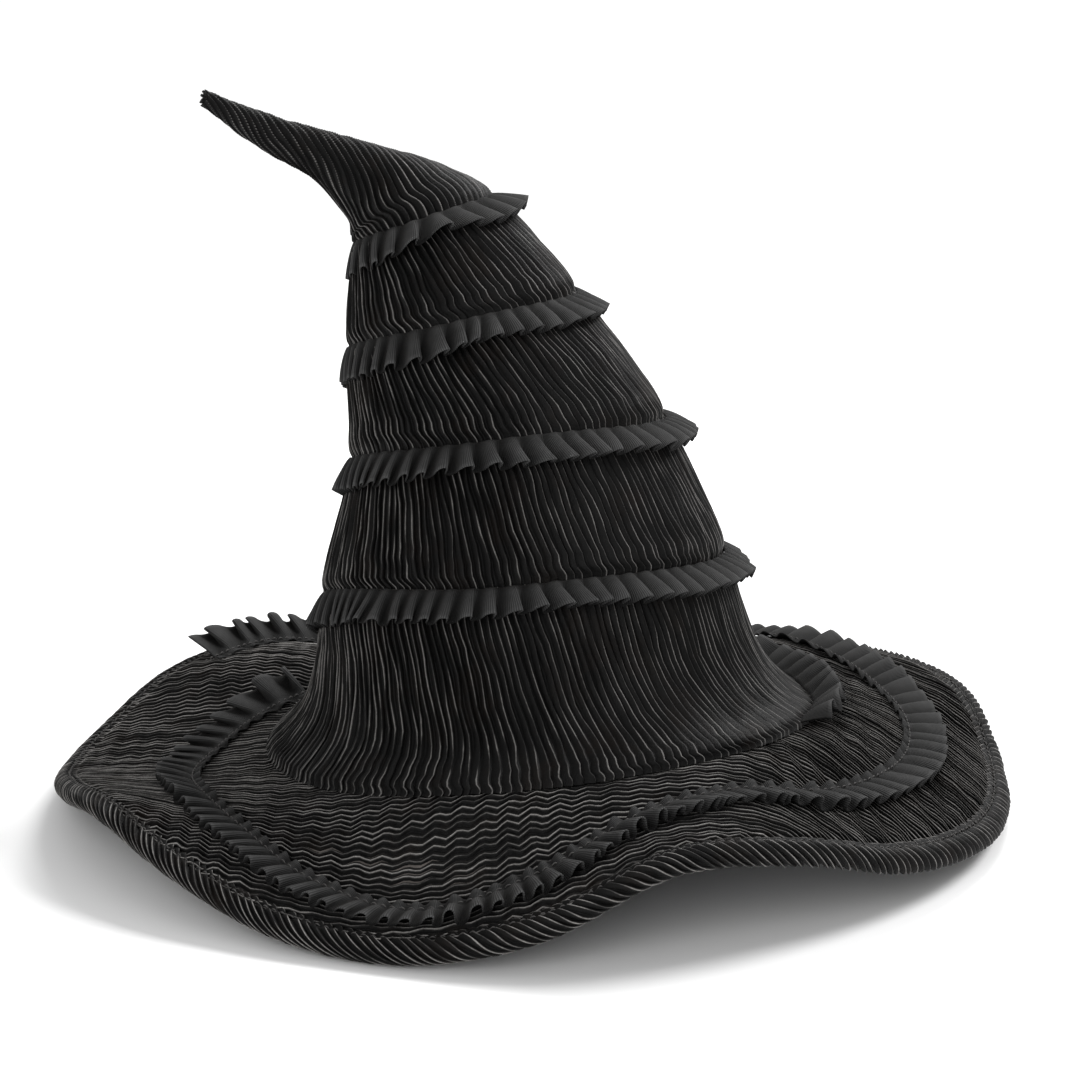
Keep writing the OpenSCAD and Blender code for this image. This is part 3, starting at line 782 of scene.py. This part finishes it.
def brim_seam():
    """Angle and radius all along the brim's spiral seam."""
    turns = np.linspace(0, (len(BRIM_SEAM) - 1) / BRIM_SEAM_PLACES, 2000)
    deg = BRIM_SEAM_FROM + turns * 360
    far = reach(deg) - BINDING_W - BRIM_RUFFLE_W / 3
    return deg, np.maximum(FOOT_R + 2, mix(FOOT_R, far, along(BRIM_SEAM, turns * BRIM_SEAM_PLACES)))


# The brim's ruffle: its height over the brim and its heading, the front stretch where its folds are short and
# deep, the fold lengths there and elsewhere, and the back left, where the brim falls away and it stands up
BRIM_RUFFLE_UP = 0.9
BRIM_HEADING = 3.4
FRONT_AT, FRONT_HALF, FRONT_EASE = 262, 28, 45
FRONT_FOLD, BRIM_FOLD = 7.2, 11.5
STAND_AT, STAND_EASE, STAND_SHARE = 128, 32, 0.55


def away_from(deg, middle):
    """Degrees from the middle of a stretch."""
    return np.abs(np.mod(deg, 360) - middle)


def brim_ruffle():
    deg, r = brim_seam()
    seam = brim_point(r, deg, BRIM_RUFFLE_UP)
    outer = brim_point(r + BRIM_RUFFLE_W, deg, BRIM_RUFFLE_UP)
    back = ease((away_from(deg, FRONT_AT) - FRONT_HALF) / FRONT_EASE)
    stand = ease(1.4 - away_from(deg, STAND_AT) / STAND_EASE)
    outer[:, 2] += STAND_SHARE * BRIM_RUFFLE_W * stand
    return ruffle("brim_ruffle_strip", seam, outer - seam, BRIM_RUFFLE_W, BRIM_RUFFLE_SEED,
                  mix(FRONT_FOLD, BRIM_FOLD, back), heading=BRIM_HEADING, lift=3.0, deep=mix(0.85, 0.5, back),
                  lying=mix(0.35, 0.9, back))


for maker, node, under in ((crown_ruffle, "crown_ruffle", "crown_pleated_strip"),
                           (brim_ruffle, "brim_ruffle", "brim_core")):
    piece, wide, long = maker()
    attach(piece, "crown")
    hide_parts(node)


# --- Brim covers: parallel pleats from left to right, kinked in step ---
BRIM_PITCH = 3.5
TOP_DEPTH, UNDER_DEPTH = 2.1, 1.6
TOP_STEP, UNDER_STEP = 2.2, 3.0
KINK_LENGTH = 10.0
KINK_DEPTH = 2.3
# The pleats turn toward the front over the right lobe, from this x on, and a little over the front left
LOBE_FROM, LOBE_EASE = 62, 55
LOBE_SLOPE = 1.25
LOBE_FALL = 150
LEFT_FALL = 30


def brim_cover(name, top, seed, step_x, depth):
    far = BRIM_REACH + 8
    side = 1 if top else -1
    x = np.arange(-far, far + step_x, step_x)[None, :]
    rows = np.arange(int((2 * far + LOBE_FALL) / BRIM_PITCH) * PER_PLEAT + 1)[:, None]
    pleat = rows // PER_PLEAT
    fold = (PER_PLEAT - rows % PER_PLEAT) % PER_PLEAT
    y = -far + (pleat + np.where(fold == 0, 0, 1 - FOLD_AT[fold])) * BRIM_PITCH
    wave = np.repeat(FOLD_UP[fold], x.shape[1], 1)
    painted_light = np.repeat(FOLD_PAINTED_LIGHT[fold], x.shape[1], 1)

    steep = np.cumsum(LOBE_SLOPE * ease((x - LOBE_FROM) / LOBE_EASE) * step_x, 1)
    bend = -steep + LEFT_FALL * ease((-x - 50) / 130) * ease((-y - 30) / 120)
    bend = bend + 5 * noise2(x / 95, y / 95, seed)
    kink = 2 * np.abs(2 * np.mod(x / KINK_LENGTH + 0.5 * noise2(x / 60, y / 45, seed + 1), 1) - 1) - 1
    strong = 0.55 + 0.45 * noise2(x / 48, y / 36, seed + 2)
    wiggle = KINK_DEPTH * kink * strong + 0.8 * noise2(x / 15, y / 18, seed + 3) \
        + 0.13 * BRIM_PITCH * noise2(x / 17, pleat * 5.3, seed + 4)
    yy = y + bend + wiggle - 0.14 * BRIM_PITCH * wave
    xx = x + 0.5 * noise2(x / 10, y / 10, seed + 5)

    r = np.hypot(xx, yy)
    deg = np.degrees(np.arctan2(yy, xx))
    inner, outer = BRIM_IN_R + 0.6, reach(deg) - 4.5
    inside = (r > inner) & (r < outer)
    tall = depth * (1 + 0.16 * noise2(x / 22, pleat * 3.7, seed + 6)) * wave
    up = (-1.9 if top else 1.9 - BRIM_T) + side * tall * (0.25 + 0.75 * ease((r - inner) / 8))
    # The edge goes in under the binding
    up = up - side * 1.2 * ease((r - (reach(deg) - BINDING_W - 1)) / 4)
    points = brim_point(np.clip(r, inner, outer), deg, up)

    # Faces wholly outside the brim are left out, with their points
    faces = quads(*r.shape)
    faces = faces[inside.ravel()[faces].any(1)]
    used, packed = np.unique(faces, return_inverse=True)
    faces = packed.reshape(faces.shape)
    if not top:
        faces = faces[:, ::-1].copy()
    # Painted highlight on the crests and painted shade in the folds, varied by noise
    ridge = np.clip(painted_light * (0.9 + 0.25 * noise2(x / 13, pleat * 3.7, seed + 7)), 0, 1)
    return make_piece(name, points.reshape(-1, 3)[used], faces, PLEAT_BRIM, {"ridge": ridge.ravel()[used]})


for name, top, node, seed, step_x, depth in (
        ("brim_top_cloth", True, "brim_top_cover", TOP_COVER_SEED, TOP_STEP, TOP_DEPTH),
        ("brim_under_cloth", False, "brim_under_cover", UNDER_COVER_SEED, UNDER_STEP, UNDER_DEPTH)):
    piece = brim_cover(name, top, seed, step_x, depth)
    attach(piece, "crown")
    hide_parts(node)


# --- Binding: a pleated strip rolled over the edge, its pleats slanting like rope ---
ROPE_PITCH = 4.1
ROPE_DEPTH = 1.6
# How far a pleat runs along the edge, elsewhere and over the front, where it slants more
ROPE_SLANT = 22.0
ROPE_SLANT_FRONT = 40.0
ROPE_FRONT_AT, ROPE_FRONT_HALF, ROPE_FRONT_EASE = 245, 30, 40
BINDING_ROWS = 26
BINDING_WIDE = BINDING_W / 2 + 0.4
BINDING_THICK = 4.9
BINDING_DROP = 5.4
# Half of the angle that the strip wraps, and the place across it of the groove where it is stitched
BINDING_WRAP = 155
GROOVE_AT = 0.2
BINDING_FULLNESS = 1.45


def binding():
    deg = np.linspace(0, 360, 2001)
    edge = path_length(brim_point(reach(deg), deg, -BRIM_T / 2))
    pleats = int(edge[-1] / ROPE_PITCH)
    column = np.arange(pleats * PER_PLEAT)
    pleat, fold = (column // PER_PLEAT)[:, None], (column % PER_PLEAT)[:, None]
    place = (pleat + FOLD_AT[fold]) / pleats * edge[-1]
    wave = FOLD_UP[fold]
    # From the top seam, out round the edge, to the seam below; each pleat slants along the edge as it goes
    w = np.linspace(0, 1, BINDING_ROWS)[None, :]
    sway = 1.6 * noise2(place / 30, w * 3, BINDING_SEED) + 0.9 * noise2(pleat * 2.7, w * 4, BINDING_SEED + 3)
    here = np.interp(place, edge, deg)
    slant = mix(ROPE_SLANT_FRONT, ROPE_SLANT,
                ease((np.abs(here - ROPE_FRONT_AT) - ROPE_FRONT_HALF) / ROPE_FRONT_EASE))
    run = place + slant * (w - 0.5) + sway * ease(w / 0.1) * ease((1 - w) / 0.1)
    turn = np.interp(np.mod(run, edge[-1]), edge, deg)
    bend = np.radians(mix(BINDING_WRAP, -BINDING_WRAP, w))
    grow = ROPE_DEPTH * (wave - 0.65) * (0.3 + 0.7 * ease(w / 0.08) * ease((1 - w) / 0.08))
    grow = grow * (1 + 0.3 * noise2(pleat * 3.3, w * 2, BINDING_SEED + 1))
    grow = grow - 1.5 * np.exp(-((w - GROOVE_AT) / 0.022) ** 2)
    centre_r = reach(turn) - BINDING_WIDE + 0.2
    lumps = 0.4 * noise2(run / 28, w * 2, BINDING_SEED + 2)
    across = (BINDING_WIDE + grow) * np.cos(bend) + lumps
    points = brim_point(centre_r + across, turn, 0)
    level = brim_z(centre_r, turn)
    slope = brim_z(centre_r + across, turn) - level
    points[..., 2] = level + 0.8 * slope - BINDING_DROP + (BINDING_THICK + grow) * np.sin(bend)
    # Painted highlight on the crests and painted shade in the folds, with more painted shade in the stitched
    # groove
    ridge = np.clip(FOLD_PAINTED_LIGHT[fold] * (0.9 + 0.3 * noise2(pleat * 1.7, w * 6, BINDING_SEED + 4)), 0, 1)
    ridge = ridge * (1 - 0.8 * np.exp(-((w - GROOVE_AT) / 0.03) ** 2))
    faces = quads(len(column), BINDING_ROWS, closed_rows=True)
    piece = make_piece("brim_edge_binding", points, faces, PLEAT_BRIM, {"ridge": ridge})
    around = math.radians(2 * BINDING_WRAP) * (BINDING_WIDE + BINDING_THICK) / 2
    return piece, around * MM, float(edge[-1]) * BINDING_FULLNESS * MM


piece, wide, long = binding()
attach(piece, "crown")
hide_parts("brim_binding")


# --- Inside: lining, sweatband, tape, foam and wadding ---
LINING_R = HEAD_R + BAND_T + PLY_GAP
LINING_COLUMNS = 288
PUCKERS = 36
# The lining's gathered top: rings inside its rim, as shares of it
LINING_GATHERS = (0.97, 0.9, 0.8, 0.65, 0.5, 0.35, 0.2, 0.1, 0.02)


def lining():
    deg = round_angles(LINING_COLUMNS)[None, :]
    a = np.radians(deg)
    # Rings -1 to 1 are the straight wall behind the sweatband, and those above are the crown's own
    rings = np.concatenate([np.linspace(-1, 1, 14), np.linspace(1.05, HEAD_TOP, 46)])[:, None]
    w = ease((rings - 1) / 2)
    s = np.maximum(rings, 1)
    foot = 2 * WIRE_D + PLY_GAP
    z = np.where(rings < 1, mix(foot, BAND_H + 1, (rings + 1) / 2), mix(BAND_H + 1, ring_at(s)[0][..., 2], w))
    pucker = 0.45 * np.sin(a * PUCKERS + 2 * noise1(deg / 23, LINING_SEED)) * ease((rings - 1.2) / 1.2)
    straight = on_circle(LINING_R + 0.3, a, z)
    inside = crown_point(s, deg, CORE_IN - HEAD_SPACE_INSET - 0.3 + pucker)
    points = mix(straight, inside, w[..., None])
    centre, _, _, _, t = ring_at(np.array(HEAD_TOP))
    rim = points[-1]
    top = []
    for share in LINING_GATHERS:
        sag = -2.5 * (1 - share) - 0.8 * share * np.cos(a[0] * PUCKERS / 2) * (share > 0.3)
        top.append(centre + (rim - centre) * share + t * sag[:, None] - t * (0.6 if share > 0.95 else 0.9))
    points = np.concatenate([points, np.stack(top)])
    faces = quads(len(points), LINING_COLUMNS, closed_cols=True)[:, ::-1].copy()
    return make_piece("lining_cloth", points, faces, LINING)


piece = lining()
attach(piece, "crown")
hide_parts("crown_lining")


SWEATBAND_COLUMNS = 720


def sweatband():
    deg = round_angles(SWEATBAND_COLUMNS)[:, None]
    outer, inner = HEAD_R + BAND_T - 0.1, HEAD_R + 0.15
    # The section, up the inner face with a groove for each row of stitches, and down the outer one
    hem = [(inner + 0.25, 0.0), (inner, 0.5), (inner, 1.6), (inner + 0.18, 2.4), (inner, 3.2)]
    section = hem + [(inner, z) for z in np.linspace(6, BAND_H - 6, 6)]
    section += [(r, BAND_H - z) for r, z in hem[::-1]]
    section += [(outer - 0.2, BAND_H), (outer, BAND_H - 0.4), (outer, BAND_H / 2), (outer, 0.4),
                (outer - 0.2, 0.0)]
    r, z = np.array(section).T[:, None]
    points = on_circle(r + 0.07 * noise1(deg / 9, SWEATBAND_SEED), np.radians(deg), z)
    rib = np.repeat(deg / 360 * 2 * math.pi * HEAD_R, len(section), 1)
    faces = quads(SWEATBAND_COLUMNS, len(section), True, True)[:, ::-1].copy()
    return make_piece("sweatband_ribbon", points, faces, RIBBON, {"rib": rib, "edge": np.zeros_like(rib)})


piece = sweatband()
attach(piece, "crown")
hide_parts("sweatband")


TAPE_T = 0.8
TAPE_IN = LINING_R + LINING_T + PLY_GAP + 1
TAPE_OUT = FOOT_R + CORE_IN - PLY_GAP - 1
TAPE_COLUMNS, TAPE_ROWS = 360, 7


def seam_tape():
    deg = round_angles(TAPE_COLUMNS)[:, None]
    r = np.linspace(TAPE_IN, TAPE_OUT, TAPE_ROWS)[None, :]
    up = 2 * PLY_GAP + TAPE_T / 2 + 0.15 * noise2(deg / 4, r / 6, TAPE_SEED)
    faces = quads(TAPE_COLUMNS, TAPE_ROWS, closed_rows=True)
    return make_piece("foot_tape", brim_point(r, deg, up), faces, TAPE)


piece = seam_tape()
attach(piece, "crown")
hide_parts("foot_seam_tape")


# The rounded ends of a stuffing: rings inside its last one, as shares of it, and how far they bulge out
STUFFING_ENDS = ((0.86, 0.5), (0.6, 0.8), (0.3, 0.9), (0.03, 0.9))


def stuffing(name, s_from, s_to, inset, lump, seed, material, rows=26, cols=72):
    """A lumpy closed filling that follows the crown's rings."""
    deg = round_angles(cols)[None, :]
    s = np.linspace(s_from, s_to, rows)[:, None]
    radius = ring_at(s)[1]
    lumps = noise2(deg / 30, s * 5, seed) * 0.7 + noise2(deg / 12, s * 11, seed + 1) * 0.3 - 0.6
    off = -inset + lump * lumps
    points = crown_point(s, deg, np.maximum(off, -0.85 * radius))
    ends = []
    for row, s_end, sign in ((points[0], s_from, -1), (points[-1], s_to, 1)):
        centre, _, _, _, t = ring_at(np.array(s_end))
        ends.append(np.stack([centre + (row - centre) * share + t * sign * out
                              for share, out in STUFFING_ENDS]))
    points = np.concatenate([ends[0][::-1], points, ends[1]])
    return make_piece(name, points, quads(len(points), cols, closed_cols=True)[:, ::-1].copy(), material)


piece = stuffing("crown_stuffing", 3.75, 5.9, -CORE_IN + 2 * PLY_GAP, 2.5, CROWN_STUFFING_SEED, WADDING)
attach(piece, "crown")
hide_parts("crown_wadding")

piece = stuffing("tip_stuffing", 8.55, 10.4, COVER_T + 1.3, 0.5, TIP_STUFFING_SEED, WADDING, 18, 36)
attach(piece, "tip")
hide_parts("tip_wadding")


FOAM_COLUMNS = 180
# Ring numbers of the foam's outer face
FOAM_RINGS = (0.27, 0.4, 0.55, 0.7, 0.85, 0.97)


def foam_ring():
    deg = round_angles(FOAM_COLUMNS)
    inner = LINING_R + LINING_T + PLY_GAP + 0.2
    outside = [crown_point(s, deg, CORE_IN - 2 * PLY_GAP - 0.3) for s in FOAM_RINGS]
    high = outside[-1][:, 2] - 0.5
    bottom = brim_z(inner, deg) + 3 * PLY_GAP + TAPE_T + 1.2
    top = np.maximum(bottom + 3.6, high - 4)
    wall_top, wall_middle, wall_bottom = (on_circle(inner, np.radians(deg), z)
                                          for z in (top, mix(top, bottom, 0.5), bottom))
    section = [*outside, mix(outside[-1], wall_top, 0.5) + np.array([0, 0, -0.2]), wall_top, wall_middle,
               wall_bottom, mix(outside[0], wall_bottom, 0.5) + np.array([0, 0, 0.3])]
    points = np.stack(section, 1)
    return make_piece("foam_ring", points, quads(FOAM_COLUMNS, len(section), True, True), FOAM)


piece = foam_ring()
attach(piece, "crown")
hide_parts("fitting_foam")

# --- Stitches along the brim ruffle, the binding's groove and the sweatband ---
THREAD_R = 0.3
THREAD_SIDES = 6
STITCH_PLACES = np.linspace(0, 1, 5)
# Heights over the brim's surface
BRIM_STITCH_UP = 1.75
BINDING_STITCH_UP = -0.9


def stitches(name, line, normal, length, gap):
    """A row of short arched threads along a line, each one closed."""
    run = path_length(line)
    tangent = unit(np.gradient(line, axis=0))
    start = np.arange(int(run[-1] / (length + gap))) * (length + gap) + gap / 2
    at = start[:, None] + length * STITCH_PLACES
    n, t = unit(read_along(at, run, normal)), unit(read_along(at, run, tangent))
    arch = np.sin(np.pi * STITCH_PLACES)
    centre = read_along(at, run, line) + n * (THREAD_R * (2.0 * arch - 1.0))[:, None]
    thick = THREAD_R * (0.5 + 0.5 * arch ** 0.5)
    angle = 2 * np.pi * np.arange(THREAD_SIDES) / THREAD_SIDES
    spoke = np.cos(angle)[:, None] * np.cross(t, n)[:, :, None] + np.sin(angle)[:, None] * n[:, :, None]
    points = centre[:, :, None] + thick[:, None, None] * spoke
    # Two faces close each six-sided end
    last = (len(STITCH_PLACES) - 1) * THREAD_SIDES
    caps = np.array([[0, 3, 2, 1], [0, 5, 4, 3], [last, last + 1, last + 2, last + 3],
                     [last, last + 3, last + 4, last + 5]])
    one = np.concatenate([quads(len(STITCH_PLACES), THREAD_SIDES, closed_cols=True)[:, ::-1], caps[:, ::-1]])
    step = np.arange(len(start))[:, None, None] * len(STITCH_PLACES) * THREAD_SIDES
    piece = make_piece(name, points, (one[None] + step).reshape(-1, 4), THREAD)
    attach(piece, "crown")


def up(line):
    return np.broadcast_to(np.array([0.0, 0.0, 1.0]), line.shape)


deg, r = brim_seam()
line = brim_point(r, deg, BRIM_STITCH_UP)
stitches("brim_ruffle_stitches", line, up(line), 2.6, 1.2)

deg = np.linspace(0, 360, 1441)
line = brim_point(reach(deg) - BINDING_W / 2 - 0.5, deg, BINDING_STITCH_UP)
stitches("binding_stitches", line, up(line), 2.4, 1.4)

a = np.radians(deg)
for name, height in (("sweatband_stitches_low", 2.4), ("sweatband_stitches_high", BAND_H - 2.4)):
    stitches(name, on_circle(HEAD_R + 0.35, a, height), -on_circle(1.0, a, 0.0), 2.2, 1.2)

# --- Carried-over CAD nodes ---
for material, nodes in ((FELT, ("crown_core", "brim_core")),
                        (STEEL, ("headsize_wire", "brim_edge_wire", "spine_wire", "tip_wire"))):
    for node in nodes:
        mesh = frame["nodes"][node].data
        mesh.materials.clear()
        mesh.materials.append(material)

# --- Floor and light ---
FLOOR_HALF = 8
FLOOR_GAP = 0.0005
WORLD_STRENGTH = 0.64

floor_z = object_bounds()[0][2] - FLOOR_GAP
floor_mesh = bpy.data.meshes.new("floor")
corners = [(FLOOR_HALF * x, FLOOR_HALF * y, floor_z) for x, y in ((-1, -1), (1, -1), (1, 1), (-1, 1))]
floor_mesh.from_pydata(corners, [], [(0, 1, 2, 3)])
floor = bpy.data.objects.new("floor", floor_mesh)
bpy.context.scene.collection.objects.link(floor)
floor_look = Look("pale_floor", 0.9, specular=0.1)
floor_color = floor_look.ramp(floor_look.noise(3, 2), [(0.3, grey(0.86)), (0.7, grey(0.88))])
floor_mesh.materials.append(floor_look.finish(floor_color))

world = bpy.data.worlds.new("studio")
world.use_nodes = True
world.node_tree.nodes["Background"].inputs["Color"].default_value = (1, 1, 1, 1)
world.node_tree.nodes["Background"].inputs["Strength"].default_value = WORLD_STRENGTH
bpy.context.scene.world = world


def add_light(name, kind, place, aim, power, **settings):
    data = bpy.data.lights.new(name, kind)
    data.energy = power
    for key, value in settings.items():
        setattr(data, key, value)
    light = bpy.data.objects.new(name, data)
    light.location = place
    light.rotation_euler = (Vector(place) - Vector(aim)).to_track_quat("Z", "Y").to_euler()
    bpy.context.scene.collection.objects.link(light)


add_light("key", "SUN", (1.1, 0.5, 1.15), (0, 0, 0.0), 2.7, angle=math.radians(22))
add_light("top", "AREA", (0.35, 0.9, 1.2), (0, 0, 0.05), 14, shape="DISK", size=0.7)
add_light("front", "AREA", (-0.5, -1.7, 0.75), (0, -0.1, 0.03), 15, shape="DISK", size=1.4)

bpy.context.scene.view_settings.view_transform = "Standard"
